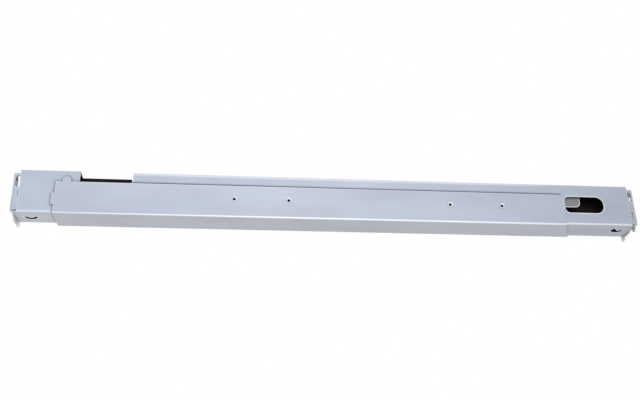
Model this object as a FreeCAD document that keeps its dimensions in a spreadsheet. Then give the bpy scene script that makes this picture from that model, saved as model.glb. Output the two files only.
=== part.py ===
import FreeCAD, Part
import math
import os

import Sketcher
from FreeCAD import Vector

# Telescopic rack slide rail, millimetres.
# X runs along the rail from the front rack post to the rear one, Y runs from the outer web
# towards the server, Z is up.  The pieces are drawn from the front end face, the outer web
# plane and the underside, and are then placed with the front rack holes at the origin.

DRIVING_SIZES = {
    # Whole rail
    "overall_length": 595.0,
    "sheet": 1.2,
    "bend": 2.0,
    "sliding_gap": 0.2,
    "running_gap": 0.3,
    # Main rail, the long outer angle
    "main_overlap": 21.3,
    "main_drop": 11.9,
    "main_shelf": 31.0,
    "lobe_inset": 10.0,
    "lobe_radius": 3.8,
    "lobe_rise": 1.2,
    "step_reach": 2.7,
    "step_bottom": 8.6,
    "step_height": 11.2,
    # Brackets that fold round the channel
    "channel_height": 43.5,
    "top_depth": 16.4,
    "end_setback": 6.4,
    "front_bracket_end": 60.0,
    "closed_gap": 12.5,
    "bracket_shelf": 27.2,
    "rear_shelf": 30.6,
    # End plates and their hooks
    "plate": 2.0,
    "plate_drop": 3.3,
    "plate_reach": 10.2,
    "plate_overlap": 11.0,
    "rack_pitch": 15.875,
    "rack_hole_rise": 2.2,
    "front_hole_radius": 2.75,
    "front_hole_inset": 5.1,
    "rear_hole_radius": 3.1,
    "rear_hole_inset": 5.5,
    "ear_slot_width": 5.6,
    "ear_slot_length": 11.6,
    "ear_slot_drop": 8.3,
    "ear_slot_inset": 2.2,
    "ear_hole_width": 3.4,
    "ear_hole_length": 7.6,
    "front_ear_hole_height": 19.2,
    "front_ear_hole_inset": 7.1,
    "rear_ear_hole_height": 12.5,
    "rear_ear_hole_inset": 5.0,
    "hook_sheet": 1.5,
    "hook_depth": 30.0,
    "hook_bottom": 0.4,
    "hook_tab_height": 7.4,
    "prong_length": 3.2,
    "prong_round": 1.4,
    "notch_height": 1.0,
    "front_prong_inset": 6.0,
    "front_prong_width": 13.4,
    "front_notch_width": 1.4,
    "front_tail_width": 8.6,
    "front_tail_taper": 5.4,
    "rear_prong_inset": 0.6,
    "rear_prong_width": 4.0,
    "rear_notch_width": 9.0,
    "rear_tail_width": 4.4,
    "rear_tail_taper": 0.8,
    "hook_rivet_radius": 1.2,
    "hook_rivet_head": 1.7,
    "hook_rivet_pitch": 3.8,
    "rivet_head_height": 0.6,
    # Spring tongues lanced in the shelves
    "tongue_place": 17.4,
    "tongue_depth": 13.2,
    "tongue_radius": 6.2,
    "tongue_gap": 3.6,
    "tongue_horn": 2.4,
    "relief_reach": 4.6,
    "relief_length": 8.0,
    "relief_depth": 9.2,
    "relief_far": 18.2,
    # Finger window and guide slot in the rear channel
    "window_setback": 32.7,
    "window_margin": 1.3,
    "window_length": 39.3,
    "window_width": 17.2,
    "window_height": 22.0,
    "window_front_corner": 5.2,
    "window_rear_corner": 7.6,
    "extend_travel": 70.0,
    "retract_travel": 35.0,
    # Spacer rivets that carry the ball slide
    "first_rivet": 202.5,
    "rivet_spacing": 51.0,
    "rivet_end_inset": 62.2,
    "rivet_height": 18.3,
    "spacer_radius": 3.0,
    "spacer_neck": 2.1,
    "spacer_bore": 1.3,
    "spacer_rim": 2.7,
    "spacer_dish": 0.8,
    "rim_height": 0.3,
    "strap_margin": 12.0,
    "strap_width": 18.0,
    "strap_corner": 5.0,
    # Release lever behind the finger window
    "lever_sheet": 1.2,
    "lever_show": 16.7,
    "lever_eye": 7.0,
    "lever_arm": 9.0,
    "lever_tab_rise": 2.3,
    "lever_tab_height": 12.0,
    "lever_tab_length": 22.0,
    "lever_corner": 2.0,
    "lever_nose": 4.6,
    "spring_leaf": 0.6,
    "spring_width": 4.0,
    "spring_arm": 16.0,
    # Ball slide
    "slide_sheet": 1.4,
    "slide_start": 6.0,
    "slide_setback": 10.0,
    "slide_floor_gap": 0.6,
    "slide_roof_gap": 0.3,
    "slide_depth": 11.5,
    "lip_gap": 0.7,
    "ball_radius": 2.0,
    "ball_gap": 0.25,
    "groove": 0.5,
    "ball_inset": 6.0,
    "inner_start": 8.0,
    "inner_depth": 10.8,
    "cage_sheet": 0.8,
    "cage_gap": 0.5,
    "cage_margin": 24.0,
    "cage_length": 170.0,
    "ball_count": 6.0,
    "ball_pitch": 28.0,
    "server_hole_radius": 2.2,
    "server_hole_inset": 36.0,
    "server_hole_pitch": 300.0,
    "keyhole_radius": 4.2,
    "keyhole_neck": 4.6,
    "keyhole_offset": 27.0,
    "keyhole_run": 9.0,
    "bumper_setback": 26.7,
    "bumper_length": 10.0,
    "bumper_depth": 7.5,
    "bumper_corner": 2.0,
    "bumper_rivet": 1.6,
    "bumper_rivet_head": 3.2,
}

doc = FreeCAD.newDocument("slide_rail")
sheet = doc.addObject("Spreadsheet::Sheet", "Sizes")


class Size:
    """A length that keeps both its number and the sheet formula that drives it."""

    def __init__(self, value, formula):
        self.value = value
        self.formula = formula

    def joined(self, sign, other, value):
        formula = other.formula if isinstance(other, Size) else repr(float(other))
        return Size(value, f"({self.formula} {sign} {formula})")

    def __add__(self, other):
        return self.joined("+", other, self.value + number(other))

    def __sub__(self, other):
        return self.joined("-", other, self.value - number(other))

    def __mul__(self, factor):
        return self.joined("*", factor, self.value * number(factor))

    def __truediv__(self, divisor):
        return self.joined("/", divisor, self.value / number(divisor))


def number(size):
    return size.value if isinstance(size, Size) else float(size)


def fill_sheet():
    """Writes each driving size to the sheet and returns them by name."""
    sizes = {}
    for row, (name, value) in enumerate(DRIVING_SIZES.items(), start=1):
        sheet.set(f"A{row}", name)
        sheet.set(f"B{row}", str(value))
        sheet.setAlias(f"B{row}", name)
        sizes[name] = Size(value, f"Sizes.{name}")
    doc.recompute()
    return sizes


S = fill_sheet()

# Places that several pieces share
FRONT_END = Size(0.0, "0.0")
REAR_END = S["overall_length"]
BRACKET_FACE = S["sheet"]
CHANNEL_FACE = S["sheet"] + S["sliding_gap"]
FRONT_PLATE_FACE = S["sheet"] * 2
REAR_PLATE_FACE = CHANNEL_FACE + S["sheet"]
REAR_CHANNEL_START = S["front_bracket_end"] + S["retract_travel"] + S["closed_gap"]
REAR_CHANNEL_END = REAR_END - S["end_setback"]
# The end plates stand on the end of the channels' lower bend
PLATE_BOTTOM = CHANNEL_FACE + S["bend"]
PLATE_TOP = S["channel_height"] - S["plate_drop"]
FRONT_HOLE_DEPTH = FRONT_PLATE_FACE + S["front_hole_inset"]
RACK_HOLE_HEIGHT = (PLATE_BOTTOM + PLATE_TOP) / 2 + S["rack_hole_rise"]
WINDOW_START = REAR_END - S["window_setback"] - S["window_length"]
MAIN_START = S["front_bracket_end"] - S["main_overlap"]
MAIN_END = WINDOW_START - S["window_margin"]
MAIN_TOP = S["channel_height"] - S["main_drop"]
STRAP_FACE = REAR_PLATE_FACE + S["sliding_gap"]
LEVER_FACE = STRAP_FACE + S["sheet"] + S["sliding_gap"]
CHANNEL_FLOOR = CHANNEL_FACE + S["sheet"]
# The shelves run on past the webs up to the hook plates
SHELF_LEAD = S["end_setback"] - S["plate"] - S["hook_sheet"] - S["sliding_gap"]
# The slide stands clear of the end plates and of the hook plates' arms as they pass it
ARM_TOP = CHANNEL_FLOOR + S["sliding_gap"]
SLIDE_BACK = REAR_PLATE_FACE + S["plate_reach"] + S["sliding_gap"]
SLIDE_INSIDE = SLIDE_BACK + S["slide_sheet"]
SLIDE_FRONT = SLIDE_BACK + S["slide_depth"]
SLIDE_END = REAR_END - S["slide_setback"]
SLIDE_BOTTOM = CHANNEL_FLOOR + S["slide_floor_gap"]
SLIDE_TOP = S["channel_height"] - S["sheet"] - S["slide_roof_gap"]
SLIDE_MIDDLE = (SLIDE_BOTTOM + SLIDE_TOP) / 2
BALL_DEPTH = SLIDE_BACK + S["ball_inset"]
RACE_RADIUS = S["ball_radius"] + S["ball_gap"]
BALL_SETBACK = S["slide_sheet"] + RACE_RADIUS - S["groove"]
BALL_TOP = SLIDE_TOP - BALL_SETBACK
BALL_BOTTOM = SLIDE_BOTTOM + BALL_SETBACK
INNER_TOP = BALL_TOP - RACE_RADIUS + S["groove"]
INNER_BOTTOM = BALL_BOTTOM + RACE_RADIUS - S["groove"]
CAGE_BACK = SLIDE_INSIDE + S["cage_gap"]
CAGE_FRONT = SLIDE_FRONT - S["slide_sheet"] - S["cage_gap"]
INNER_BACK = CAGE_BACK + S["cage_sheet"] + S["cage_gap"]
INNER_FACE = INNER_BACK + S["inner_depth"]
BUMPER_END = SLIDE_END - S["bumper_setback"]
BUMPER_START = BUMPER_END - S["bumper_length"]
BUMPER_MIDDLE = BUMPER_END - S["bumper_length"] / 2
INNER_END = BUMPER_START - S["running_gap"]
# The cage rolls half as far as the inner member and stays between both members
INNER_TRAVEL = INNER_END - S["slide_start"] - S["cage_length"] - S["cage_margin"] * 2
CAGE_START = S["slide_start"] + INNER_TRAVEL / 2 + S["cage_margin"]
LAST_RIVET = MAIN_END - S["rivet_end_inset"]
RIVET_PLACES = [
    S["first_rivet"],
    S["first_rivet"] + S["rivet_spacing"],
    LAST_RIVET - S["rivet_spacing"],
    LAST_RIVET,
]
# A cutting depth that always clears one sheet and its bend
CUT = S["plate"] * 2 + S["bend"]


def bind(target, prop, size):
    target.setExpression(prop, size.formula if isinstance(size, Size) else repr(float(size)))


def new_body(label):
    """Starts a piece, placed so that the front rack holes are at the origin."""
    body = doc.addObject("PartDesign::Body", label)
    body.Label = label
    place_piece(body)
    return body


def place_piece(piece):
    bind(piece, "Placement.Base.y", FRONT_HOLE_DEPTH * -1)
    bind(piece, "Placement.Base.z", RACK_HOLE_HEIGHT * -1)


def new_sketch(body, plane, offset):
    """A sketch on one of the body's own planes, moved along that plane's normal."""
    sketch = body.newObject("Sketcher::SketchObject", "Outline")
    origin_plane = next(f for f in body.Origin.OriginFeatures if f.Role == plane)
    sketch.AttachmentSupport = [(origin_plane, "")]
    sketch.MapMode = "FlatFace"
    bind(sketch, "AttachmentOffset.Base.z", offset)
    return sketch


def fix_point(sketch, geometry, vertex, point):
    """Ties one vertex to its two sizes, or to an axis where a size is zero."""
    axes = (("DistanceX", -2, point[0]), ("DistanceY", -1, point[1]))
    for kind, axis, size in axes:
        if number(size) == 0.0:
            sketch.addConstraint(Sketcher.Constraint("PointOnObject", geometry, vertex, axis))
            continue
        constraint = Sketcher.Constraint(kind, -1, 1, geometry, vertex, number(size))
        bind(sketch, f"Constraints[{sketch.addConstraint(constraint)}]", size)


def fix_radius(sketch, geometry, radius):
    constraint = sketch.addConstraint(Sketcher.Constraint("Radius", geometry, number(radius)))
    bind(sketch, f"Constraints[{constraint}]", radius)


def flat_vector(point):
    return Vector(number(point[0]), number(point[1]), 0)


def add_polygon(sketch, points):
    """Closed straight-sided loop through the given points."""
    first = sketch.GeometryCount
    count = len(points)
    for index, point in enumerate(points):
        ends = (flat_vector(point), flat_vector(points[(index + 1) % count]))
        sketch.addGeometry(Part.LineSegment(*ends))
    for index, point in enumerate(points):
        following = first + (index + 1) % count
        sketch.addConstraint(Sketcher.Constraint("Coincident", first + index, 2, following, 1))
        fix_point(sketch, first + index, 1, point)


def add_rectangle(sketch, low, high):
    add_polygon(sketch, [low, (high[0], low[1]), high, (low[0], high[1])])


def add_circle(sketch, centre, radius):
    circle = Part.Circle(flat_vector(centre), Vector(0, 0, 1), number(radius))
    geometry = sketch.addGeometry(circle)
    fix_point(sketch, geometry, 3, centre)
    fix_radius(sketch, geometry, radius)


def add_slot(sketch, start, end, radius):
    """Round-ended slot between the centres of its two end arcs."""
    axis = Vector(0, 0, 1)
    run = flat_vector(end) - flat_vector(start)
    turn = math.atan2(run.y, run.x)
    side = Vector(-math.sin(turn), math.cos(turn), 0) * number(radius)
    quarter = math.pi / 2
    back = Part.ArcOfCircle(
        Part.Circle(flat_vector(start), axis, number(radius)), turn + quarter, turn + 3 * quarter
    )
    nose = Part.ArcOfCircle(
        Part.Circle(flat_vector(end), axis, number(radius)), turn - quarter, turn + quarter
    )
    left = Part.LineSegment(flat_vector(start) + side, flat_vector(end) + side)
    right = Part.LineSegment(flat_vector(start) - side, flat_vector(end) - side)
    arc_back, arc_nose, line_left, line_right = sketch.addGeometry([back, nose, left, right])
    for arc, vertex, line, line_end in (
        (arc_back, 1, line_left, 1),
        (arc_back, 2, line_right, 1),
        (arc_nose, 1, line_right, 2),
        (arc_nose, 2, line_left, 2),
    ):
        sketch.addConstraint(Sketcher.Constraint("Tangent", arc, vertex, line, line_end))
    fix_point(sketch, arc_back, 3, start)
    fix_point(sketch, arc_nose, 3, end)
    sketch.addConstraint(Sketcher.Constraint("Equal", arc_back, arc_nose))
    fix_radius(sketch, arc_back, radius)


def add_crescent(sketch, centre, radius, gap, horn):
    """Half-round slit on the far side of its centre: wide at its middle, narrow at its horns."""
    axis = Vector(0, 0, 1)
    across = Vector(1, 0, 0)
    middle = flat_vector(centre)
    half = radius - horn
    rise = radius - gap
    inner = (half * half + rise * rise) / (rise * 2)
    inner_centre = (centre[0], centre[1] + rise - inner)
    tilt = math.atan2(number(inner - rise), number(half))
    wide = Part.ArcOfCircle(Part.Circle(middle, axis, number(radius)), 0, math.pi)
    narrow = Part.ArcOfCircle(
        Part.Circle(flat_vector(inner_centre), axis, number(inner)), tilt, math.pi - tilt
    )
    right = Part.LineSegment(middle + across * number(half), middle + across * number(radius))
    left = Part.LineSegment(middle - across * number(half), middle - across * number(radius))
    arc_out, arc_in, line_right, line_left = sketch.addGeometry([wide, narrow, right, left])
    for line, vertex in ((line_right, 1), (line_left, 2)):
        sketch.addConstraint(Sketcher.Constraint("Coincident", line, 1, arc_in, vertex))
        sketch.addConstraint(Sketcher.Constraint("Coincident", line, 2, arc_out, vertex))
        sketch.addConstraint(Sketcher.Constraint("Horizontal", line))
        sketch.addConstraint(Sketcher.Constraint("PointOnObject", arc_out, 3, line))
    fix_point(sketch, arc_out, 3, centre)
    fix_point(sketch, arc_in, 3, inner_centre)
    fix_radius(sketch, arc_out, radius)
    fix_radius(sketch, arc_in, inner)


def pad(body, sketch, length, backwards=False):
    feature = body.newObject("PartDesign::Pad", "Pad")
    feature.Profile = sketch
    bind(feature, "Length", length)
    feature.Reversed = backwards
    doc.recompute()
    return feature


def cut(body, sketch, length, backwards=False):
    """Pockets the sketch and checks that it took material away."""
    before = body.Shape.Volume
    feature = body.newObject("PartDesign::Pocket", "Cut")
    feature.Profile = sketch
    bind(feature, "Length", length)
    feature.Reversed = backwards
    doc.recompute()
    if body.Shape.Volume >= before:
        raise RuntimeError(f"{body.Label}: a cut removed nothing")
    return feature


def round_edges(body, radius, chosen):
    """Fillets the edges of the piece that the given test picks out."""
    base = body.Tip
    names = [f"Edge{i}" for i, edge in enumerate(base.Shape.Edges, start=1) if chosen(edge)]
    if not names:
        raise RuntimeError(f"{body.Label}: no edge to round")
    feature = body.newObject("PartDesign::Fillet", "Round")
    feature.Base = (base, names)
    bind(feature, "Radius", radius)
    doc.recompute()
    return feature


def edge_at(**place):
    """Test for straight edges whose ends both have the given coordinates."""

    def chosen(edge):
        if edge.Curve.TypeId != "Part::GeomLine":
            return False
        return all(
            math.isclose(getattr(vertex.Point, axis), number(size), abs_tol=1e-4)
            for vertex in edge.Vertexes
            for axis, size in place.items()
        )

    return chosen


def any_of(*tests):
    return lambda edge: any(test(edge) for test in tests)


def channel_profile(face, bottom, top, shelf, roof):
    """Section of a folded channel: web, shelf below and shorter roof above."""
    inner = face + S["sheet"]
    return [
        (face, bottom),
        (shelf, bottom),
        (shelf, bottom + S["sheet"]),
        (inner, bottom + S["sheet"]),
        (inner, top - S["sheet"]),
        (roof, top - S["sheet"]),
        (roof, top),
        (face, top),
    ]


def folded_channel(label, start, length, face, bottom, shelf):
    """Bracket channel with rounded bends, open towards the server."""
    body = new_body(label)
    top = S["channel_height"]
    sketch = new_sketch(body, "YZ_Plane", start)
    add_polygon(sketch, channel_profile(face, bottom, top, shelf, face + S["top_depth"]))
    pad(body, sketch, length)
    inner = face + S["sheet"]
    round_edges(body, S["bend"], any_of(edge_at(y=face, z=bottom), edge_at(y=face, z=top)))
    inside_bends = any_of(
        edge_at(y=inner, z=bottom + S["sheet"]), edge_at(y=inner, z=top - S["sheet"])
    )
    round_edges(body, S["bend"] - S["sheet"], inside_bends)
    return body


def lance_tongue(body, place, shelf_top):
    """Cuts the crescent slit round a spring tongue in the shelf."""
    sketch = new_sketch(body, "XY_Plane", shelf_top + S["bend"])
    centre = (place, S["tongue_depth"])
    add_crescent(sketch, centre, S["tongue_radius"], S["tongue_gap"], S["tongue_horn"])
    cut(body, sketch, CUT)


def lead_shelf(body, start, face, shelf, backwards=False):
    """Carries the shelf on past the end of its web, towards the hook plate."""
    sketch = new_sketch(body, "YZ_Plane", start)
    add_rectangle(sketch, (face + S["bend"], face), (shelf, face + S["sheet"]))
    pad(body, sketch, SHELF_LEAD, backwards)


def make_main_rail():
    """Long angle: web with a round lobe and a locating step, and the shelf below."""
    body = new_body("main_rail")
    sketch = new_sketch(body, "YZ_Plane", MAIN_START)
    profile = [
        (0, 0),
        (S["main_shelf"], 0),
        (S["main_shelf"], S["sheet"]),
        (S["sheet"], S["sheet"]),
        (S["sheet"], MAIN_TOP),
        (0, MAIN_TOP),
    ]
    add_polygon(sketch, profile)
    pad(body, sketch, MAIN_END - MAIN_START)
    round_edges(body, S["bend"], edge_at(y=0, z=0))
    round_edges(body, S["bend"] - S["sheet"], edge_at(y=S["sheet"], z=S["sheet"]))

    lobe = new_sketch(body, "XZ_Plane", 0)
    add_circle(lobe, (MAIN_START + S["lobe_inset"], MAIN_TOP + S["lobe_rise"]), S["lobe_radius"])
    pad(body, lobe, S["sheet"], backwards=True)

    step = new_sketch(body, "XZ_Plane", 0)
    step_low = (MAIN_START - S["step_reach"], S["step_bottom"])
    step_high = (MAIN_START + S["step_reach"], S["step_bottom"] + S["step_height"])
    add_rectangle(step, step_low, step_high)
    pad(body, step, S["sheet"], backwards=True)

    holes = new_sketch(body, "XZ_Plane", 0)
    for place in RIVET_PLACES:
        add_circle(holes, (place, S["rivet_height"]), S["spacer_neck"] + S["sliding_gap"] / 2)
    cut(body, holes, CUT)
    return body


def make_front_bracket():
    """Channel that joins the front end plate to the main rail."""
    length = S["front_bracket_end"] - S["end_setback"]
    shelf = S["bracket_shelf"]
    body = folded_channel(
        "front_bracket", S["end_setback"], length, BRACKET_FACE, BRACKET_FACE, shelf
    )
    lead_shelf(body, S["end_setback"], BRACKET_FACE, shelf, backwards=True)
    lance_tongue(body, S["tongue_place"], BRACKET_FACE + S["sheet"])
    return body


def make_rear_channel():
    """Channel that telescopes inside the main rail, with window and guide slot."""
    shelf = S["rear_shelf"]
    length = REAR_CHANNEL_END - REAR_CHANNEL_START
    body = folded_channel(
        "rear_channel", REAR_CHANNEL_START, length, CHANNEL_FACE, CHANNEL_FACE, shelf
    )
    window = new_sketch(body, "XZ_Plane", 0)
    half = S["window_width"] / 2
    low = (WINDOW_START, S["window_height"] - half)
    high = (WINDOW_START + S["window_length"], S["window_height"] + half)
    add_rectangle(window, low, high)
    cut(body, window, CUT)
    for place, radius in ((low[0], "window_front_corner"), (high[0], "window_rear_corner")):
        corners = [edge_at(x=place, z=z) for z in (low[1], high[1])]
        round_edges(body, S[radius], any_of(*corners))

    guide = new_sketch(body, "XZ_Plane", 0)
    start = S["first_rivet"] - S["extend_travel"] - S["running_gap"]
    end = LAST_RIVET + S["retract_travel"] + S["running_gap"]
    slot_radius = S["spacer_radius"] + S["running_gap"]
    add_slot(guide, (start, S["rivet_height"]), (end, S["rivet_height"]), slot_radius)
    cut(body, guide, CUT)
    lead_shelf(body, REAR_CHANNEL_END, CHANNEL_FACE, shelf)
    tongue = REAR_END - S["tongue_place"]
    lance_tongue(body, tongue, CHANNEL_FLOOR)
    relief = new_sketch(body, "XY_Plane", CHANNEL_FLOOR + S["bend"])
    corner = tongue - S["relief_reach"]
    triangle = [
        (corner, S["relief_depth"]),
        (corner + S["relief_length"], S["relief_far"]),
        (corner, S["relief_far"]),
    ]
    add_polygon(relief, triangle)
    cut(body, relief, CUT)
    return body


def make_end_plate(side, face, end, inward):
    """Ear with a slot, folded into the plate that bolts to the rack post."""
    body = new_body(f"{side}_end_plate")

    def along(distance):
        return end + distance * inward

    ear = new_sketch(body, "XZ_Plane", face * -1)
    ear_ends = sorted((end, along(S["end_setback"] + S["plate_overlap"])), key=number)
    add_rectangle(ear, (ear_ends[0], PLATE_BOTTOM), (ear_ends[1], PLATE_TOP))
    pad(body, ear, S["plate"], backwards=True)

    post_side = new_sketch(body, "YZ_Plane", end)
    add_rectangle(post_side, (face, PLATE_BOTTOM), (face + S["plate_reach"], PLATE_TOP))
    pad(body, post_side, S["plate"], backwards=inward == -1)
    round_edges(body, S["bend"], edge_at(x=end, y=face))
    free_edge = face + S["plate_reach"]
    corners = [edge_at(y=free_edge, z=z) for z in (PLATE_BOTTOM, PLATE_TOP)]
    round_edges(body, S["bend"], any_of(*corners))

    slot = new_sketch(body, "XZ_Plane", 0)
    radius = S["ear_slot_width"] / 2
    place = along(S["ear_slot_inset"] + radius)
    rise = S["ear_slot_length"] / 2 - radius
    height = PLATE_TOP - S["ear_slot_drop"]
    add_slot(slot, (place, height - rise), (place, height + rise), radius)
    small = S["ear_hole_width"] / 2
    reach = S["ear_hole_length"] / 2 - small
    place = along(S[f"{side}_ear_hole_inset"])
    low, high = (S[f"{side}_ear_hole_height"] + reach * up for up in (-1, 1))
    add_slot(slot, (place, low), (place, high), small)
    cut(body, slot, face + CUT)

    holes = new_sketch(body, "YZ_Plane", along(CUT))
    hole_depth = face + S[f"{side}_hole_inset"]
    for up in (-1, 1):
        hole = (hole_depth, RACK_HOLE_HEIGHT + S["rack_pitch"] / 2 * up)
        add_circle(holes, hole, S[f"{side}_hole_radius"])
    for place in hook_rivet_places(face):
        add_circle(holes, place, S["hook_rivet_radius"] + S["sliding_gap"] / 2)
    cut(body, holes, CUT * 2, backwards=inward == -1)
    return body


def hook_rivet_places(face):
    """Depth and height of the two rivets that hold a hook plate to its end plate."""
    height = PLATE_BOTTOM + S["hook_rivet_head"]
    first = face + S["plate"] + S["sliding_gap"] + S["hook_rivet_head"]
    return [(first, height), (first + S["hook_rivet_pitch"], height)]


def make_hook_plate(side, face, end, inward):
    """Plate behind the end plate: riveted tab, low arm under the slide and two prongs."""
    body = new_body(f"{side}_hook_plate")
    near = end + S["plate"] * inward
    start = face + S["plate"] + S["sliding_gap"]
    far = start + S["hook_depth"]
    tab = face + S["plate_reach"] - S["sliding_gap"]
    base = S["hook_bottom"]
    tip = base - S["prong_length"]
    near_prong = start + S[f"{side}_prong_inset"]
    notch = near_prong + S[f"{side}_prong_width"]
    notch_end = notch + S[f"{side}_notch_width"]
    far_prong = far - S[f"{side}_tail_width"]
    far_tip = far - S[f"{side}_tail_taper"]
    outline = [
        (start, base),
        (near_prong, base),
        (near_prong, tip),
        (notch, tip),
        (notch, base + S["notch_height"]),
        (notch_end, base + S["notch_height"]),
        (notch_end, base),
        (far_prong, base),
        (far_prong, tip),
        (far_tip, tip),
        (far, base),
        (far, ARM_TOP),
        (tab, ARM_TOP),
        (tab, base + S["hook_tab_height"]),
        (start, base + S["hook_tab_height"]),
    ]
    sketch = new_sketch(body, "YZ_Plane", near)
    add_polygon(sketch, outline)
    pad(body, sketch, S["hook_sheet"], backwards=inward == -1)
    tip_edges = [edge_at(y=y, z=tip) for y in (near_prong, notch, far_prong, far_tip)]
    round_edges(body, S["prong_round"], any_of(*tip_edges))
    holes = new_sketch(body, "YZ_Plane", near + CUT * inward)
    for place in hook_rivet_places(face):
        add_circle(holes, place, S["hook_rivet_radius"] + S["sliding_gap"] / 2)
    cut(body, holes, CUT * 2, backwards=inward == -1)
    return body


def turned(profile, origin, direction):
    """Solid of revolution from (radius, distance) pairs about a line."""
    points = [Vector(number(r), 0, number(d)) for r, d in profile]
    wire = Part.makePolygon(points + points[:1])
    solid = Part.Face(wire).revolve(Vector(0, 0, 0), Vector(0, 0, 1), 360)
    solid.Placement = FreeCAD.Placement(
        Vector(*(number(c) for c in origin)), FreeCAD.Rotation(Vector(0, 0, 1), direction)
    )
    return solid


def make_group(label, solids):
    """Node that holds several separate solids of one kind."""
    piece = doc.addObject("Part::Feature", label)
    piece.Label = label
    piece.Shape = Part.makeCompound(solids)
    place_piece(piece)
    return piece


def make_hook_rivets(side, face, end, inward):
    """Rivets that are flush on the rack side and headed on the hook side."""
    stack = S["plate"] + S["hook_sheet"]
    profile = [
        (0, 0),
        (S["hook_rivet_radius"], 0),
        (S["hook_rivet_radius"], stack),
        (S["hook_rivet_head"], stack),
        (S["hook_rivet_head"], stack + S["rivet_head_height"]),
        (0, stack + S["rivet_head_height"]),
    ]
    direction = Vector(inward, 0, 0)
    places = hook_rivet_places(face)
    rivets = [turned(profile, (end, y, z), direction) for y, z in places]
    return make_group(f"{side}_hook_rivets", rivets)


def make_spacer_rivets():
    """Hollow spacer rivets from the main rail's web through to the ball slide."""
    web = S["sheet"]
    seat = SLIDE_BACK
    tail = SLIDE_INSIDE
    profile = [
        (S["spacer_bore"], S["spacer_dish"]),
        (S["spacer_bore"] + S["spacer_dish"], S["rim_height"] * -1),
        (S["spacer_rim"], S["rim_height"] * -1),
        (S["spacer_rim"], 0),
        (S["spacer_neck"], 0),
        (S["spacer_neck"], web),
        (S["spacer_radius"], web),
        (S["spacer_radius"], seat),
        (S["spacer_neck"], seat),
        (S["spacer_neck"], tail),
        (S["spacer_bore"], tail),
    ]
    inwards = Vector(0, 1, 0)
    rivets = [turned(profile, (x, 0, S["rivet_height"]), inwards) for x in RIVET_PLACES]
    return make_group("spacer_rivets", rivets)


def make_guide_strap():
    """Strip behind the rear channel's web that keeps it against the main rail."""
    body = new_body("guide_strap")
    sketch = new_sketch(body, "XZ_Plane", STRAP_FACE * -1)
    half = S["strap_width"] / 2
    low = (S["first_rivet"] - S["strap_margin"], S["rivet_height"] - half)
    high = (LAST_RIVET + S["strap_margin"], S["rivet_height"] + half)
    add_rectangle(sketch, low, high)
    pad(body, sketch, S["sheet"], backwards=True)
    corners = [edge_at(x=x, z=z) for x in (low[0], high[0]) for z in (low[1], high[1])]
    round_edges(body, S["strap_corner"], any_of(*corners))
    holes = new_sketch(body, "XZ_Plane", 0)
    for place in RIVET_PLACES:
        add_circle(holes, (place, S["rivet_height"]), S["spacer_radius"] + S["sliding_gap"] / 2)
    cut(body, holes, STRAP_FACE + CUT)
    return body


def make_lock_lever():
    """Lever on the last spacer rivet, with a finger tab in the rear channel's window."""
    body = new_body("lock_lever")
    pivot = (LAST_RIVET, S["rivet_height"])
    eye = new_sketch(body, "XZ_Plane", LEVER_FACE * -1)
    add_circle(eye, pivot, S["lever_eye"])
    pad(body, eye, S["lever_sheet"], backwards=True)
    arm = new_sketch(body, "XZ_Plane", LEVER_FACE * -1)
    tab_end = WINDOW_START + S["lever_show"]
    tab_start = tab_end - S["lever_tab_length"]
    tab_bottom = pivot[1] + S["lever_tab_rise"]
    tab_top = tab_bottom + S["lever_tab_height"]
    arm_low = pivot[1] - S["lever_arm"] / 2
    arm_high = pivot[1] + S["lever_arm"] / 2
    outline = [
        (pivot[0], arm_low),
        (tab_start - S["lever_arm"], arm_low),
        (tab_start, tab_bottom),
        (tab_end, tab_bottom),
        (tab_end, tab_top),
        (tab_start, tab_top),
        (tab_start - S["lever_arm"], arm_high),
        (pivot[0], arm_high),
    ]
    add_polygon(arm, outline)
    pad(body, arm, S["lever_sheet"], backwards=True)
    round_edges(body, S["lever_corner"], edge_at(x=tab_end, z=tab_top))
    round_edges(body, S["lever_nose"], edge_at(x=tab_end, z=tab_bottom))
    hole = new_sketch(body, "XZ_Plane", 0)
    add_circle(hole, pivot, S["spacer_radius"] + S["sliding_gap"] / 2)
    cut(body, hole, LEVER_FACE + CUT)
    return body


def make_lever_spring():
    """Flat torsion spring round the lever's pivot, with one arm each way."""
    body = new_body("lever_spring")
    face = LEVER_FACE + S["lever_sheet"] + S["sliding_gap"]
    inside = S["spacer_radius"] + S["running_gap"]
    outside = inside + S["spring_leaf"]
    middle = S["rivet_height"]
    ring = new_sketch(body, "XZ_Plane", face * -1)
    add_circle(ring, (LAST_RIVET, middle), outside)
    pad(body, ring, S["spring_width"], backwards=True)
    arms = new_sketch(body, "XZ_Plane", face * -1)
    upper = (LAST_RIVET + S["spring_arm"], middle + outside)
    lower = (LAST_RIVET - S["spring_arm"], middle - outside)
    add_rectangle(arms, (LAST_RIVET, middle + inside), upper)
    add_rectangle(arms, lower, (LAST_RIVET, middle - inside))
    pad(body, arms, S["spring_width"], backwards=True)
    bore = new_sketch(body, "XZ_Plane", face * -1)
    add_circle(bore, (LAST_RIVET, middle), inside)
    cut(body, bore, S["spring_width"] * 2)
    return body


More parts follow.
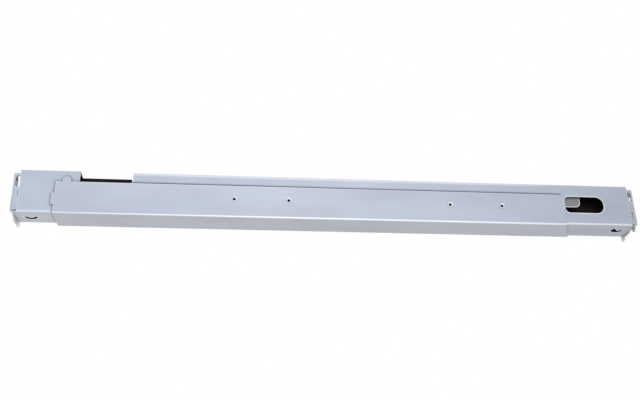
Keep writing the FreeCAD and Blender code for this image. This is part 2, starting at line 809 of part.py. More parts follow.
def make_outer_member():
    """Fixed member of the ball slide: lipped channel with two ball grooves."""
    body = new_body("slide_outer_member")
    sketch = new_sketch(body, "YZ_Plane", S["slide_start"])
    back = SLIDE_BACK
    low = SLIDE_BOTTOM
    wall = S["slide_sheet"]
    lip_back = SLIDE_FRONT - wall
    lip = (RACE_RADIUS - S["groove"]) * 2 - S["lip_gap"]
    profile = [
        (back, low),
        (SLIDE_FRONT, low),
        (SLIDE_FRONT, low + wall + lip),
        (lip_back, low + wall + lip),
        (lip_back, low + wall),
        (SLIDE_INSIDE, low + wall),
        (SLIDE_INSIDE, SLIDE_TOP - wall),
        (lip_back, SLIDE_TOP - wall),
        (lip_back, SLIDE_TOP - wall - lip),
        (SLIDE_FRONT, SLIDE_TOP - wall - lip),
        (SLIDE_FRONT, SLIDE_TOP),
        (back, SLIDE_TOP),
    ]
    add_polygon(sketch, profile)
    length = SLIDE_END - S["slide_start"]
    pad(body, sketch, length)
    outside = [edge_at(y=y, z=z) for y in (back, SLIDE_FRONT) for z in (low, SLIDE_TOP)]
    round_edges(body, S["slide_sheet"], any_of(*outside))
    cut_races(body, SLIDE_END, length)
    holes = new_sketch(body, "XZ_Plane", back * -1)
    for place in RIVET_PLACES:
        add_circle(holes, (place, S["rivet_height"]), S["spacer_neck"] + S["sliding_gap"] / 2)
    add_circle(holes, (BUMPER_MIDDLE, SLIDE_MIDDLE), S["bumper_rivet"] + S["sliding_gap"] / 2)
    cut(body, holes, CUT)
    return body


def cut_races(body, end, length):
    """Round ball grooves along a slide member, above and below."""
    races = new_sketch(body, "YZ_Plane", end)
    for height in (BALL_TOP, BALL_BOTTOM):
        add_circle(races, (BALL_DEPTH, height), RACE_RADIUS)
    cut(body, races, length)


def make_inner_member():
    """Moving member of the ball slide, with keyholes and screw holes for the server."""
    body = new_body("slide_inner_member")
    wall = S["slide_sheet"]
    web_back = INNER_FACE - wall
    sketch = new_sketch(body, "YZ_Plane", S["inner_start"])
    profile = [
        (INNER_BACK, INNER_BOTTOM),
        (INNER_FACE, INNER_BOTTOM),
        (INNER_FACE, INNER_TOP),
        (INNER_BACK, INNER_TOP),
        (INNER_BACK, INNER_TOP - wall),
        (web_back, INNER_TOP - wall),
        (web_back, INNER_BOTTOM + wall),
        (INNER_BACK, INNER_BOTTOM + wall),
    ]
    add_polygon(sketch, profile)
    length = INNER_END - S["inner_start"]
    pad(body, sketch, length)
    outside = [edge_at(y=INNER_FACE, z=z) for z in (INNER_BOTTOM, INNER_TOP)]
    round_edges(body, wall, any_of(*outside))
    cut_races(body, INNER_END, length)
    holes = new_sketch(body, "XZ_Plane", web_back * -1)
    first = S["inner_start"] + S["server_hole_inset"]
    for place in (first, first + S["server_hole_pitch"]):
        add_circle(holes, (place, SLIDE_MIDDLE), S["server_hole_radius"])
        key = (place + S["keyhole_offset"], SLIDE_MIDDLE)
        add_circle(holes, key, S["keyhole_radius"])
    cut(body, holes, CUT)
    necks = new_sketch(body, "XZ_Plane", web_back * -1)
    for place in (first, first + S["server_hole_pitch"]):
        key = place + S["keyhole_offset"]
        neck_end = key + S["keyhole_run"]
        add_slot(necks, (key, SLIDE_MIDDLE), (neck_end, SLIDE_MIDDLE), S["keyhole_neck"] / 2)
    cut(body, necks, CUT)
    return body


def make_ball_cage():
    """Thin channel between the slide members with a round pocket for each ball."""
    body = new_body("ball_cage")
    wall = S["cage_sheet"]
    top = BALL_TOP + wall / 2
    bottom = BALL_BOTTOM - wall / 2
    sketch = new_sketch(body, "YZ_Plane", CAGE_START)
    profile = [
        (CAGE_BACK, bottom),
        (CAGE_FRONT, bottom),
        (CAGE_FRONT, bottom + wall),
        (CAGE_BACK + wall, bottom + wall),
        (CAGE_BACK + wall, top - wall),
        (CAGE_FRONT, top - wall),
        (CAGE_FRONT, top),
        (CAGE_BACK, top),
    ]
    add_polygon(sketch, profile)
    pad(body, sketch, S["cage_length"])
    pockets = new_sketch(body, "XY_Plane", SLIDE_TOP)
    for place in ball_places():
        add_circle(pockets, (place, BALL_DEPTH), S["ball_radius"] + S["ball_gap"])
    cut(body, pockets, SLIDE_TOP - SLIDE_BOTTOM)
    return body


def ball_places():
    """Distances along the rail of the balls in one row, centred in the cage."""
    count = round(S["ball_count"].value)
    middle = CAGE_START + S["cage_length"] / 2
    return [middle + S["ball_pitch"] * (i - (count - 1) / 2) for i in range(count)]


def make_ball_row(label, height):
    balls = []
    for place in ball_places():
        centre = Vector(place.value, BALL_DEPTH.value, height.value)
        balls.append(Part.makeSphere(S["ball_radius"].value, centre))
    return make_group(label, balls)


def make_rear_bumper():
    """Rubber stop that the closed inner member meets."""
    body = new_body("rear_bumper")
    sketch = new_sketch(body, "XZ_Plane", SLIDE_INSIDE * -1)
    # The rounded corners stand past the inner member, so that its flanges land on the flat face
    low = (BUMPER_START, INNER_BOTTOM - S["bumper_corner"])
    high = (BUMPER_END, INNER_TOP + S["bumper_corner"])
    add_rectangle(sketch, low, high)
    pad(body, sketch, S["bumper_depth"], backwards=True)
    corners = [edge_at(x=x, z=z) for x in (low[0], high[0]) for z in (low[1], high[1])]
    round_edges(body, S["bumper_corner"], any_of(*corners))
    hole = new_sketch(body, "XZ_Plane", SLIDE_INSIDE * -1)
    add_circle(hole, (BUMPER_MIDDLE, SLIDE_MIDDLE), S["bumper_rivet"] + S["sliding_gap"] / 2)
    cut(body, hole, S["bumper_depth"] * 2)
    return body


def make_bumper_rivet():
    """Rivet that holds the rubber stop to the outer member's web."""
    face = SLIDE_INSIDE + S["bumper_depth"]
    profile = [
        (0, SLIDE_BACK),
        (S["bumper_rivet"], SLIDE_BACK),
        (S["bumper_rivet"], face),
        (S["bumper_rivet_head"], face),
        (S["bumper_rivet_head"], face + S["rivet_head_height"]),
        (0, face + S["rivet_head_height"]),
    ]
    place = (BUMPER_MIDDLE, 0, SLIDE_MIDDLE)
    return make_group("bumper_rivet", [turned(profile, place, Vector(0, 1, 0))])


def make_pieces():
    front = ("front", FRONT_PLATE_FACE, FRONT_END, 1)
    rear = ("rear", REAR_PLATE_FACE, REAR_END, -1)
    return [
        make_main_rail(),
        make_front_bracket(),
        make_end_plate(*front),
        make_hook_plate(*front),
        make_hook_rivets(*front),
        make_rear_channel(),
        make_end_plate(*rear),
        make_hook_plate(*rear),
        make_hook_rivets(*rear),
        make_spacer_rivets(),
        make_guide_strap(),
        make_lock_lever(),
        make_lever_spring(),
        make_outer_member(),
        make_inner_member(),
        make_ball_cage(),
        make_ball_row("upper_balls", BALL_TOP),
        make_ball_row("lower_balls", BALL_BOTTOM),
        make_rear_bumper(),
        make_bumper_rivet(),
    ]


def check_pieces(pieces):
    """Stops if any object of the document failed or any piece is not a sound solid."""
    for item in doc.Objects:
        if "Invalid" in item.State or "Error" in item.State:
            raise RuntimeError(f"{item.Name} failed: {item.State}")
    for piece in pieces:
        if piece.Shape.isNull() or not piece.Shape.isValid() or not piece.Shape.Solids:
            raise RuntimeError(f"{piece.Label} has no sound solid")


def main():
    pieces = make_pieces()
    doc.recompute()
    check_pieces(pieces)
    os.makedirs("parts", exist_ok=True)
    for piece in pieces:
        piece.Shape.exportStep(f"parts/{piece.Label}.step")


main()
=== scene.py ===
import math

import bpy
from mathutils import Matrix, Vector


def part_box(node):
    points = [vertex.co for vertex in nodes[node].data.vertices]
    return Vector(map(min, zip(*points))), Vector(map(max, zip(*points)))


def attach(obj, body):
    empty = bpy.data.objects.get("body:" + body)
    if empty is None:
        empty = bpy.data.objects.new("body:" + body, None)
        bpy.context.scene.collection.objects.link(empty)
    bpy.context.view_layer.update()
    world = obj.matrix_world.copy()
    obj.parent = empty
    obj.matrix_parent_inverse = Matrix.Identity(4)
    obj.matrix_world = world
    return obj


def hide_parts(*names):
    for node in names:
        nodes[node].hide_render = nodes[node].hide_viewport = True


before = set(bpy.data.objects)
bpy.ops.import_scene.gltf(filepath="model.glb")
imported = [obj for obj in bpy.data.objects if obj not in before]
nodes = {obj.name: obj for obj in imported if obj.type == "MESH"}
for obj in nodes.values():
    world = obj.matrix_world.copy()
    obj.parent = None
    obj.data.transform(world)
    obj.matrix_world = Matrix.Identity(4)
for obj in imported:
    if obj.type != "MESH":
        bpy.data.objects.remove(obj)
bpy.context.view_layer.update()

# Camera of the photograph in the rail's own frame: metres, radians, pixels, and millimetres of sensor
CAMERA_PLACE = Vector((0.2010, -0.7381, -0.3405))
CAMERA_PITCH = math.radians(24.55)
CAMERA_YAW = math.radians(6.402)
CAMERA_ROLL = math.radians(-1.191)
CAMERA_NEAREST = 0.01
IMAGE_WIDTH = 640
FOCAL_PIXELS = 856.9
SENSOR = 36.0

# Lamps, in metres and watts, and the white world as it is seen and as it lights the rail
LAMPS = {
    "low_front": {"place": (0.22, -0.30, -0.46), "size": (1.0, 0.20), "watts": 1.2},
    "high_front": {"place": (0.28, -1.35, 0.66), "size": (0.7, 0.7), "watts": 1.5},
    "high_back": {"place": (0.60, 1.20, 1.20), "size": (1.6, 1.0), "watts": 3.0},
}
LAMP_TARGET = Vector((0.30, 0.0, 0.0))
WORLD_SEEN = 1.0
WORLD_LIGHT = 0.85
WHITE = (1, 1, 1, 1)
UP = Vector((0, 0, 1))


def add_object(name, data):
    """New object in the scene."""
    thing = bpy.data.objects.new(name, data)
    bpy.context.scene.collection.objects.link(thing)
    return thing


def looking(right, up, forward):
    """Turn of a camera or a lamp, which look along their own -Z."""
    return Matrix((right, up, -forward)).transposed()


def add_camera():
    """Camera fitted to the photograph: below the rail, a little left of its middle, looking up."""
    level = math.cos(CAMERA_PITCH)
    forward = Vector(
        (math.sin(CAMERA_YAW) * level, math.cos(CAMERA_YAW) * level, math.sin(CAMERA_PITCH))
    )
    right = Vector((math.cos(CAMERA_YAW), -math.sin(CAMERA_YAW), 0))
    up = right.cross(forward)
    rolled_right = math.cos(CAMERA_ROLL) * right + math.sin(CAMERA_ROLL) * up
    rolled_up = math.cos(CAMERA_ROLL) * up - math.sin(CAMERA_ROLL) * right
    lens = bpy.data.cameras.new("photo_camera")
    lens.sensor_fit = "HORIZONTAL"
    lens.sensor_width = SENSOR
    lens.lens = SENSOR * FOCAL_PIXELS / IMAGE_WIDTH
    lens.clip_start = CAMERA_NEAREST
    camera = add_object("photo_camera", lens)
    turn = looking(rolled_right, rolled_up, forward).to_4x4()
    camera.matrix_world = Matrix.Translation(CAMERA_PLACE) @ turn
    bpy.context.scene.camera = camera


def add_lamps():
    """Soft lamps that are not seen themselves: low and high in front, and high behind."""
    for name, facts in LAMPS.items():
        light = bpy.data.lights.new(name, "AREA")
        light.shape = "RECTANGLE"
        light.size, light.size_y = facts["size"]
        light.energy = facts["watts"]
        lamp = add_object(name, light)
        lamp.location = facts["place"]
        forward = (LAMP_TARGET - lamp.location).normalized()
        right = forward.cross(UP).normalized()
        lamp.rotation_euler = looking(right, right.cross(forward), forward).to_euler()
        lamp.visible_camera = False


def add_world():
    """White where it is seen directly or in a reflection, and softer as light on the object."""
    world = bpy.data.worlds.new("studio")
    world.use_nodes = True
    tree = world.node_tree
    background = tree.nodes["Background"]
    path = tree.nodes.new("ShaderNodeLightPath")
    seen = path.outputs["Is Camera Ray"]
    for ray in ("Is Glossy Ray", "Is Transmission Ray"):
        either = tree.nodes.new("ShaderNodeMath")
        either.operation = "MAXIMUM"
        tree.links.new(seen, either.inputs[0])
        tree.links.new(path.outputs[ray], either.inputs[1])
        seen = either.outputs[0]
    strength = tree.nodes.new("ShaderNodeMapRange")
    strength.inputs["To Min"].default_value = WORLD_LIGHT
    strength.inputs["To Max"].default_value = WORLD_SEEN
    tree.links.new(seen, strength.inputs["Value"])
    tree.links.new(strength.outputs["Result"], background.inputs["Strength"])
    background.inputs["Color"].default_value = WHITE
    bpy.context.scene.world = world


class Paint:
    """Node tree of one material, with the few kinds of node that the finishes share."""

    # Rays that look for edges and seams, how far a rounded normal turns away on an edge, and how many
    # radii from a line its mark ends
    EDGE_SAMPLES = 6
    SEAM_SAMPLES = 8
    EDGE_TURN = (0.998, 0.90)
    LINE_FADE = 1.05
    DEPTH_AND_HEIGHT = (0, 1, 1)

    def __init__(self, name):
        self.material = bpy.data.materials.new(name)
        self.material.use_nodes = True
        self.tree = self.material.node_tree
        self.shader = self.tree.nodes["Principled BSDF"]
        place = self.tree.nodes.new("ShaderNodeTexCoord")
        self.place = place.outputs["Object"]
        self.normal = place.outputs["Normal"]

    def feed(self, socket, value):
        """Links another node's output to an input, or sets the input to a value."""
        if isinstance(value, bpy.types.NodeSocket):
            self.tree.links.new(value, socket)
        else:
            socket.default_value = value

    def node(self, kind, **inputs):
        """New node with its inputs fed by name, where an underscore stands for a space."""
        made = self.tree.nodes.new(kind)
        for name, value in inputs.items():
            self.feed(made.inputs[name.replace("_", " ")], value)
        return made

    def noise(self, scale, shift=(0, 0, 0), detail=3.0):
        """Noise between 0 and 1, with cells per metre along each axis."""
        cells = self.node("ShaderNodeMapping", Vector=self.place, Scale=scale, Location=shift)
        made = self.node(
            "ShaderNodeTexNoise", Vector=cells.outputs["Vector"], Scale=1.0, Detail=detail
        )
        return made.outputs["Fac"]

    def spread(self, value, low, high, to_low=0.0, to_high=1.0):
        """Maps low to high onto a new range, held at both ends."""
        made = self.node(
            "ShaderNodeMapRange", Value=value, From_Min=low, From_Max=high, To_Min=to_low, To_Max=to_high
        )
        return made.outputs["Result"]

    def mix(self, share, first, second, blend="MIX"):
        """Colour that goes from the first to the second by a share of 0 to 1."""
        made = self.tree.nodes.new("ShaderNodeMix")
        made.data_type = "RGBA"
        made.blend_type = blend
        self.feed(made.inputs["Factor"], share)
        self.feed(made.inputs["A"], first)
        self.feed(made.inputs["B"], second)
        return made.outputs["Result"]

    def toned(self, share, colour, factor):
        """Colour times a factor, which is one number or one for each of red, green and blue."""
        return self.mix(share, colour, factor, "MULTIPLY")

    def times(self, first, second):
        """Product of two numbers."""
        made = self.tree.nodes.new("ShaderNodeMath")
        made.operation = "MULTIPLY"
        self.feed(made.inputs[0], first)
        self.feed(made.inputs[1], second)
        return made.outputs[0]

    def vectors(self, operation, first, second):
        """Outputs of an operation on two places or directions."""
        made = self.tree.nodes.new("ShaderNodeVectorMath")
        made.operation = operation
        self.feed(made.inputs[0], first)
        self.feed(made.inputs[1], second)
        return made.outputs

    def edges(self, radius):
        """1 on sharp edges and 0 on flat metal, from how far a rounded normal turns away."""
        rounded = self.node("ShaderNodeBevel", Radius=radius)
        rounded.samples = self.EDGE_SAMPLES
        flat = self.tree.nodes.new("ShaderNodeNewGeometry").outputs["Normal"]
        turn = self.vectors("DOT_PRODUCT", rounded.outputs["Normal"], flat)
        return self.spread(turn["Value"], *self.EDGE_TURN)

    def facing(self, direction, low, high):
        """0 to 1 as the surface of the piece turns towards a direction."""
        turn = self.vectors("DOT_PRODUCT", self.normal, direction)
        return self.spread(turn["Value"], low, high)

    def along(self, axis, start, end):
        """0 to 1 along one axis of the rail between two places."""
        parts = self.node("ShaderNodeSeparateXYZ", Vector=self.place)
        return self.spread(parts.outputs[axis], start, end)

    def near_line(self, depth, height, radius):
        """1 within a radius of a line along the rail, and 0 a little outside it."""
        flat = self.vectors("MULTIPLY", self.place, self.DEPTH_AND_HEIGHT)
        away = self.vectors("DISTANCE", flat["Vector"], (0, depth, height))
        return self.spread(away["Value"], radius * self.LINE_FADE, radius)

    def crevices(self, distance, low, high):
        """1 in seams and narrow slits, 0 where the surface is open."""
        shade = self.node("ShaderNodeAmbientOcclusion", Distance=distance)
        shade.samples = self.SEAM_SAMPLES
        return self.spread(shade.outputs["AO"], high, low)

    def bump(self, height, strength, distance):
        """Fine relief, with its distance in metres."""
        made = self.node("ShaderNodeBump", Height=height, Strength=strength, Distance=distance)
        self.tree.links.new(made.outputs["Normal"], self.shader.inputs["Normal"])

    def finish(self, colour, roughness, metallic):
        """Feeds the shader and gives back the material."""
        self.feed(self.shader.inputs["Base Color"], colour)
        self.feed(self.shader.inputs["Roughness"], roughness)
        self.shader.inputs["Metallic"].default_value = metallic
        return self.material


def opaque(colour, tone=1.0):
    """Red, green and blue times a tone, with full opacity."""
    return [min(1, c * tone) for c in colour[:3]] + [1]


# In the finishes below, a noise is in cells per metre along the rail, across it and up. A MAP turns a
# range of that noise into a range of shares or tones, which is 0 to 1 where none is given. A ROUGHNESS
# turns it into roughness. A BUMP is the strength and the distance of a relief, in metres. A TURN is how
# far a face looks along a direction, from where an effect starts to where it is full. A REACH or a BAND
# is the same for places, in metres. A SHADE is how open a place is, from full painted shade to none.

# Directions that faces look along
OUT = (0, -1, 0)
DOWN = (0, 0, -1)
DOWN_AND_OUT = (0, -0.7071, -0.7071)

# Zinc plate: colours of the sheets, some of them painted shade or light as noted; the underside colour
# is painted light, a paler and warmer tone for faces that look down
ZINC = (0.455, 0.50, 0.59)
ZINC_COOL = (0.455, 0.52, 0.62)
ZINC_PLATE = (0.45, 0.49, 0.57)
# The lock lever's colour is painted shade: its zinc is darkened to the shade it lies in behind the
# window
ZINC_LEVER_SHADED = (0.22, 0.222, 0.245)
ZINC_UNDERSIDE_LIT = (0.53, 0.555, 0.60)
# The rear end plate and rear hook plate take a darker copy of the zinc: painted shade, so that their
# prongs look grey
ZINC_REAR_PLATE_SHADED = (0.41, 0.435, 0.48)
# The front hook plate takes a paler copy of the zinc: painted light, lifting the shade in its corner
# under the shelf
ZINC_HOOK_LIT = (0.60, 0.63, 0.68)

# Zinc plate: rolling grain along the rail, cloudy plating, a violet tint and dark specks
GRAIN = (25, 1800, 1800)
STREAK_MAP = (0.35, 0.75, 0.0, 0.12)
PLATE_ROUGHNESS = (0.3, 0.7, 0.42, 0.52)
PLATE_BUMP = (0.10, 0.00005)
CLOUD = (14, 40, 40)
CLOUD_MAP = (0.30, 0.70, 0.93, 1.05)
TINT = (22, 60, 60)
TINT_MAP = (0.45, 0.60, 0.0, 0.4)
VIOLET = (1.02, 0.98, 1.02, 1)
SPECK = (900, 900, 900)
SPECK_MAP = (0.66, 0.74, 0.0, 0.15)
SPECK_TONE = 0.75
# How far a face looks down before it takes the painted-light underside tone, and how much of that tone
# it takes
UNDERSIDE_TURN = (0.8, 0.95)
UNDERSIDE_SHARE = 0.75

# Zinc plate: painted highlights, a bright lower bend whose share grows along the rail and a pale band at
# the top of a web
# Colour of the streaks of the grain and of the painted highlights
BRIGHT = (0.82, 0.87, 0.94, 1)
BEND_TURN = (0.80, 0.92)
BEND_REACH = (0.02, 0.25)
BEND_SHARE = (0.25, 0.85)
TOP_TURN = (0.2, 0.5)
TOP_BAND = (0.0158, 0.0176)
TOP_REACH = (0.53, 0.48)

# Zinc plate: radius of the worn edges, whose pale colour is also a painted highlight, wider on the
# pieces with a window or a tongue, and how far from an end without wear the wear starts and is full
RIM_WEAR_AND_HIGHLIGHT = (0.97, 0.98, 1.0, 1)
EDGE_RADIUS = 0.0016
WINDOW_EDGE = 0.0020
END_FADE = (0.0022, 0.0060)

# Zinc plate: painted shade on the walls of cuts, towards the rear end and in seams, of which the
# faintest share is left near both ends of the rail
PAINTED_SHADE = (0.018, 0.020, 0.024, 1)
SEAM_DISTANCE = 0.0030
SEAM_SHADE = (0.79, 0.97)
# Painted shade on the walls of cuts that face out, a little behind the outer face
SLIT_TURN = (0.2, 0.6)
SLIT_REACH = (0.000, 0.0005)
# Painted shade towards the rear end of the rail: its tone, and where along the rail it starts and is
# full
REAR_SHADE_TONE = (0.45, 0.45, 0.46, 1)
REAR_SHADE_REACH = (0.40, 0.60)
FRONT_SHADE_REACH = (0.010, 0.020)
REAR_SEAM_SHADE_REACH = (0.5215, 0.5185)
FAINTEST_SHADE = 0.08


def zinc_body(paint, grain, colour, shift, under):
    """Cloudy plating with streaks along the grain and specks, and painted light on faces that look down.
    """
    cloud = paint.spread(paint.noise(CLOUD, shift), *CLOUD_MAP)
    tint = paint.spread(paint.noise(TINT, shift), *TINT_MAP)
    # Painted light: faces that look down take the underside tone
    underside = paint.times(paint.facing(DOWN, *UNDERSIDE_TURN), UNDERSIDE_SHARE)
    body = paint.mix(underside, opaque(colour), opaque(ZINC_UNDERSIDE_LIT, under))
    clouded = paint.toned(tint, paint.toned(1.0, body, cloud), VIOLET)
    streaked = paint.mix(paint.spread(grain, *STREAK_MAP), clouded, BRIGHT)
    specks = paint.spread(paint.noise(SPECK, shift), *SPECK_MAP)
    return paint.mix(specks, streaked, opaque(colour, SPECK_TONE))


def zinc_highlights(paint, surface, top):
    """Painted highlights: the light that the lower bend catches, and a pale band at the top of the web.
    """
    bend_share = paint.spread(paint.along("X", *BEND_REACH), 0.0, 1.0, *BEND_SHARE)
    lower_bend_highlight = paint.times(paint.facing(DOWN_AND_OUT, *BEND_TURN), bend_share)
    bend_highlit = paint.mix(lower_bend_highlight, surface, BRIGHT)
    # Painted highlight: a pale band at the top of the web, on faces that look out
    top_highlight_band = paint.times(paint.facing(OUT, *TOP_TURN), paint.along("Z", *TOP_BAND))
    top_highlight_share = paint.times(paint.along("X", *TOP_REACH), top)
    return paint.mix(paint.times(top_highlight_band, top_highlight_share), bend_highlit, BRIGHT)


def zinc_wear_and_highlight(paint, surface, wear, edge, front_end, rear_end):
    """Bright worn edges, also a painted highlight, apart from those at an end whose place along the rail
    is given.
    """
    share = paint.times(paint.edges(edge), wear)
    if front_end is not None:
        fade = [front_end + reach for reach in END_FADE]
        share = paint.times(share, paint.along("X", *fade))
    if rear_end is not None:
        fade = [rear_end - reach for reach in END_FADE]
        share = paint.times(share, paint.along("X", *fade))
    return paint.mix(share, surface, RIM_WEAR_AND_HIGHLIGHT)


def zinc_shade(paint, surface, seam_shade_share, rear_shade_share, slits):
    """Painted shade on the walls of cuts, towards the rear end and in seams, fading near both ends of
    the rail.
    """
    # Painted shade on the walls of cuts that face out
    slit_wall_shade = paint.times(paint.facing(OUT, *SLIT_TURN), paint.along("Y", *SLIT_REACH))
    slits_shaded = paint.mix(paint.times(slit_wall_shade, slits), surface, PAINTED_SHADE)
    # Painted shade towards the rear end
    rear_shaded = paint.toned(paint.times(paint.along("X", *REAR_SHADE_REACH), rear_shade_share), slits_shaded, REAR_SHADE_TONE)
    shade_unfaded = paint.times(paint.along("X", *FRONT_SHADE_REACH), paint.along("X", *REAR_SEAM_SHADE_REACH))
    kept_shade = paint.spread(shade_unfaded, 0.0, 1.0, FAINTEST_SHADE * seam_shade_share, seam_shade_share)
    # Painted shade in seams, where few rays get out
    seams = paint.times(paint.crevices(SEAM_DISTANCE, *SEAM_SHADE), kept_shade)
    return paint.mix(seams, rear_shaded, PAINTED_SHADE)


def plated(
    name, colour, shift, seam_shade_share=0.5, rear_shade_share=0.0, wear=0.8, slits=0.0, metallic=0.85,
    edge=EDGE_RADIUS, front_end=None, rear_end=None, under=1.0, top=0.0
):
    """Zinc-plated sheet. Its shares, from 0 to 1 in the order of its keywords, are of painted shade in
    seams, painted shade at the rear end, worn edges that are also a painted highlight, painted shade on
    the walls of cuts, and a painted highlight along the top of the web. Under is the tone of its
    painted-light underside."""
    paint = Paint(name)
    grain = paint.noise(GRAIN, shift)
    body = zinc_body(paint, grain, colour, shift, under)
    lit = zinc_highlights(paint, body, top)
    worn = zinc_wear_and_highlight(paint, lit, wear, edge, front_end, rear_end)
    surface = zinc_shade(paint, worn, seam_shade_share, rear_shade_share, slits)
    paint.bump(grain, *PLATE_BUMP)
    return paint.finish(surface, paint.spread(grain, *PLATE_ROUGHNESS), metallic)


# Black coat of the ball slide: the outer member's coat is blacker and less glossy than the inner one, as
# painted shade where it shows through the window and the gap
OUTER_COAT_SHADED = {"tone": 1.0, "gloss": 0.12}
INNER_COAT = {"tone": 3.0, "gloss": 0.40}
COAT = (0.003, 0.003, 0.004)
COAT_DUST = (0.010, 0.010, 0.011)
COAT_RUBBED = (0.12, 0.12, 0.13, 1)
COAT_TRACK = (0.30, 0.30, 0.31, 1)
PEEL = (700, 700, 700)
COAT_ROUGHNESS = (0.3, 0.7, 0.42, 0.58)
COAT_BUMP = (0.15, 0.0001)
DUST = (60, 200, 200)
DUST_DETAIL = 6.0
DUST_MAP = (0.45, 0.80, 0.0, 0.5)
SCUFF = (12, 1500, 1500)
SCUFF_MAP = (0.62, 0.72, 0.0, 0.06)
COAT_EDGE = 0.0004
COAT_EDGE_SHARE = 0.25

# Tracks that the balls roll, within this many radii of the middle of a row
TRACK_RADII = 1.14
TRACK_MAP = (0.30, 0.60, 0.35, 0.75)


def ball_rows():
    """Depth and height of the two rows of balls, and the balls' radius."""
    rows = []
    for name in ("upper_balls", "lower_balls"):
        low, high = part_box(name)
        rows.append(((low[1] + high[1]) / 2, (low[2] + high[2]) / 2, (high[2] - low[2]) / 2))
    return rows


def coated_black(name, shift, tone, gloss):
    """Black electro-coat with a faint orange peel, scuffs along the rail, grey rubbed edges and the
    bright tracks that the balls roll into their grooves."""
    paint = Paint(name)
    peel = paint.noise(PEEL, shift)
    dust = paint.spread(paint.noise(DUST, shift, DUST_DETAIL), *DUST_MAP)
    coat = paint.mix(dust, opaque(COAT, tone), opaque(COAT_DUST, tone))
    scuffs = paint.spread(paint.noise(SCUFF, shift), *SCUFF_MAP)
    scuffed = paint.mix(scuffs, coat, COAT_RUBBED)
    surface = paint.mix(paint.times(paint.edges(COAT_EDGE), COAT_EDGE_SHARE), scuffed, COAT_RUBBED)
    rolled = paint.spread(paint.noise(SCUFF, shift), *TRACK_MAP)
    for depth, height, radius in ball_rows():
        track = paint.times(paint.near_line(depth, height, radius * TRACK_RADII), rolled)
        surface = paint.mix(track, surface, COAT_TRACK)
    paint.bump(peel, *COAT_BUMP)
    paint.shader.inputs["Specular IOR Level"].default_value = gloss
    return paint.finish(surface, paint.spread(peel, *COAT_ROUGHNESS), metallic=0.0)


# Bare steel: colours, turning marks, smears of grease that darken and roughen it, and painted shade in
# bores
STEEL = (0.62, 0.63, 0.65)
RIVET = (0.62, 0.65, 0.71)
SPACER = (0.80, 0.83, 0.88)
CHROME = (0.72, 0.73, 0.75)
SPRING = (0.30, 0.29, 0.28)
TURNING = (1200, 1200, 3000)
STEEL_BUMP = (0.06, 0.00003)
GREASE = (250, 250, 250)
GREASE_MAP = (0.45, 0.65)
GREASE_TONE = 0.72
GREASE_SHARE = 0.6
GREASE_ROUGHER = 0.15
BORE_SHADE = (0.40, 0.62)


def bare_steel(name, colour, shift, roughness, metallic=1.0, bore_shade_share=0.0):
    """Uncoated steel with fine turning marks, smears of grease and a share of painted shade in its
    bores.
    """
    paint = Paint(name)
    marks = paint.noise(TURNING, shift)
    grease = paint.spread(paint.noise(GREASE, shift), *GREASE_MAP)
    smears = paint.times(grease, GREASE_SHARE)
    smeared = paint.mix(smears, opaque(colour), opaque(colour, GREASE_TONE))
    bores = paint.times(paint.crevices(SEAM_DISTANCE, *BORE_SHADE), bore_shade_share)
    surface = paint.mix(bores, smeared, PAINTED_SHADE)
    paint.bump(marks, *STEEL_BUMP)
    greasy_roughness = paint.spread(grease, 0.0, 1.0, roughness, roughness + GREASE_ROUGHER)
    return paint.finish(surface, greasy_roughness, metallic)


# Rubber of the bumper, and the dusty bloom on it
RUBBER = (0.018, 0.018, 0.018, 1)
RUBBER_DUSTY = (0.045, 0.045, 0.046, 1)
RUBBER_GRAIN = (2600, 2600, 2600)
RUBBER_ROUGHNESS = (0.3, 0.7, 0.72, 0.86)
RUBBER_BUMP = (0.3, 0.00008)
BLOOM = (180, 180, 180)
BLOOM_MAP = (0.4, 0.75)


def rubber(name):
    """Matt moulded rubber with a fine grain and a dusty bloom."""
    paint = Paint(name)
    grain = paint.noise(RUBBER_GRAIN)
    bloom = paint.spread(paint.noise(BLOOM), *BLOOM_MAP)
    surface = paint.mix(bloom, RUBBER, RUBBER_DUSTY)
    paint.bump(grain, *RUBBER_BUMP)
    return paint.finish(surface, paint.spread(grain, *RUBBER_ROUGHNESS), metallic=0.0)


def sheet_finishes():
    """Finish of each zinc-plated sheet, with its grain shifted from the next."""
    return {
        "main_rail": plated(
            "zinc_main_rail", ZINC, (0.0, 0.0, 0.0), seam_shade_share=0.3, rear_shade_share=0.10, wear=0.35,
            rear_end=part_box("main_rail")[1][0]
        ),
        "front_bracket": plated(
            "zinc_front_bracket", ZINC_COOL, (3.1, 0.4, 1.7), wear=1.0, slits=0.95, metallic=0.3,
            edge=WINDOW_EDGE, front_end=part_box("front_bracket")[0][0],
            rear_end=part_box("front_bracket")[1][0], under=0.84
        ),
        "rear_channel": plated(
            "zinc_rear_channel", ZINC, (7.7, 2.3, 4.1), seam_shade_share=1.0, rear_shade_share=0.20, wear=1.0, slits=0.95,
            edge=WINDOW_EDGE, rear_end=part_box("rear_channel")[1][0], top=0.5
        ),
        "front_end_plate": plated(
            "zinc_front_plate", ZINC_COOL, (1.9, 5.2, 0.6), seam_shade_share=0.0, wear=0.3
        ),
        "rear_end_plate": plated(
            "zinc_rear_plate", ZINC_REAR_PLATE_SHADED, (9.4, 1.1, 3.3), seam_shade_share=0.3, wear=0.3
        ),
        "front_hook_plate": plated(
            "zinc_front_hook", ZINC_HOOK_LIT, (2.6, 8.0, 5.5), seam_shade_share=0.0, wear=0.2
        ),
        "rear_hook_plate": plated(
            "zinc_rear_hook", ZINC_REAR_PLATE_SHADED, (6.3, 4.4, 2.2), seam_shade_share=0.1, wear=0.2
        ),
        "guide_strap": plated("zinc_strap", ZINC_PLATE, (5.0, 6.1, 7.3)),
        "lock_lever": plated("zinc_lever", ZINC_LEVER_SHADED, (4.2, 3.6, 8.8), wear=1.0),
    }


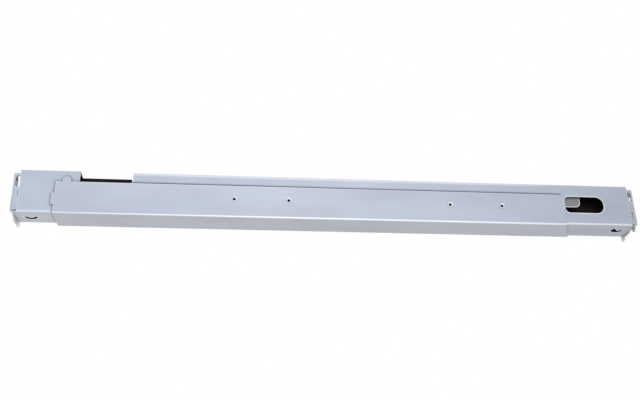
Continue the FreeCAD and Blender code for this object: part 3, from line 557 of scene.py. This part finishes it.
def slide_finishes():
    """Finish of each piece of the ball slide and its stop."""
    ball = bare_steel("ball_steel", CHROME, (2.0, 5.0, 3.0), roughness=0.08)
    return {
        "slide_outer_member": coated_black("black_outer_member", (0.0, 1.0, 2.0), **OUTER_COAT_SHADED),
        "slide_inner_member": coated_black("black_inner_member", (4.0, 7.0, 1.0), **INNER_COAT),
        "bumper_rivet": coated_black("black_bumper_rivet", (6.0, 3.0, 5.0), **OUTER_COAT_SHADED),
        "rear_bumper": rubber("bumper_rubber"),
        "ball_cage": bare_steel("cage_steel", STEEL, (1.0, 4.0, 9.0), roughness=0.30),
        "upper_balls": ball,
        "lower_balls": ball,
    }


def fastener_finishes():
    """Finish of the rivets and the spring. The hollow spacers are paler, with painted shade inside their
    bores.
    """
    rivet = bare_steel("rivet_steel", RIVET, (0.0, 0.0, 0.0), roughness=0.34)
    return {
        "front_hook_rivets": rivet,
        "rear_hook_rivets": rivet,
        "spacer_rivets": bare_steel(
            "spacer_steel", SPACER, (3.0, 1.0, 7.0), roughness=0.40, metallic=0.2, bore_shade_share=1.0
        ),
        "lever_spring": bare_steel("spring_steel", SPRING, (8.0, 2.0, 6.0), roughness=0.35),
    }


def dress_nodes():
    """Gives each CAD node its finish."""
    finishes = {**sheet_finishes(), **slide_finishes(), **fastener_finishes()}
    for name, material in finishes.items():
        nodes[name].data.materials.clear()
        nodes[name].data.materials.append(material)


# Rear end of the main rail's shelf, in metres: how far its free edge runs on past the square CAD end,
# the depth at which the slant starts, and how close to that end a point belongs to it
SHELF_RUN_ON = 0.0122
SLANT_START = -0.0055
END_TOLERANCE = 0.0001


def slant_shelf():
    """Stands for the main rail: its shelf ends on a slant at the rear, as the photograph shows."""
    mesh = nodes["main_rail"].data.copy()
    mesh.name = "main_rail_slanted"
    rear_end, free_edge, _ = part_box("main_rail")[1]
    for vertex in mesh.vertices:
        share = (vertex.co.y - SLANT_START) / (free_edge - SLANT_START)
        if vertex.co.x > rear_end - END_TOLERANCE and share > 0:
            vertex.co.x += SHELF_RUN_ON * share
    rail = add_object("main_rail_slanted", mesh)
    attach(rail, "fixed_rail")
    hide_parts("main_rail")


# Floor, in metres: a wide disc, so that its edge looks level from every side
FLOOR_DROP = 1.20
FLOOR_RADIUS = 60.0
FLOOR_SIDES = 128
FLOOR_COLOUR = (0.90, 0.895, 0.88, 1)
FLOOR_CLOUD = (2, 2, 2)
FLOOR_TONE = 1.03
FLOOR_ROUGHNESS = 0.9


def floor_paint():
    """Pale matt paint with faint clouds."""
    paint = Paint("floor_paint")
    surface = paint.mix(paint.noise(FLOOR_CLOUD), FLOOR_COLOUR, opaque(FLOOR_COLOUR, FLOOR_TONE))
    return paint.finish(surface, FLOOR_ROUGHNESS, metallic=0.0)


def add_floor():
    """Plain pale floor, well below the rail because the photograph looks up at it."""
    mesh = bpy.data.meshes.new("floor")
    turns = [2 * math.pi * side / FLOOR_SIDES for side in range(FLOOR_SIDES)]
    rim = [(FLOOR_RADIUS * math.cos(turn), FLOOR_RADIUS * math.sin(turn), -FLOOR_DROP) for turn in turns]
    mesh.from_pydata(rim, [], [range(FLOOR_SIDES)])
    mesh.materials.append(floor_paint())
    floor = add_object("floor", mesh)


add_camera()
add_lamps()
add_world()
dress_nodes()
slant_shelf()
add_floor()
bpy.context.scene.view_settings.view_transform = "Standard"
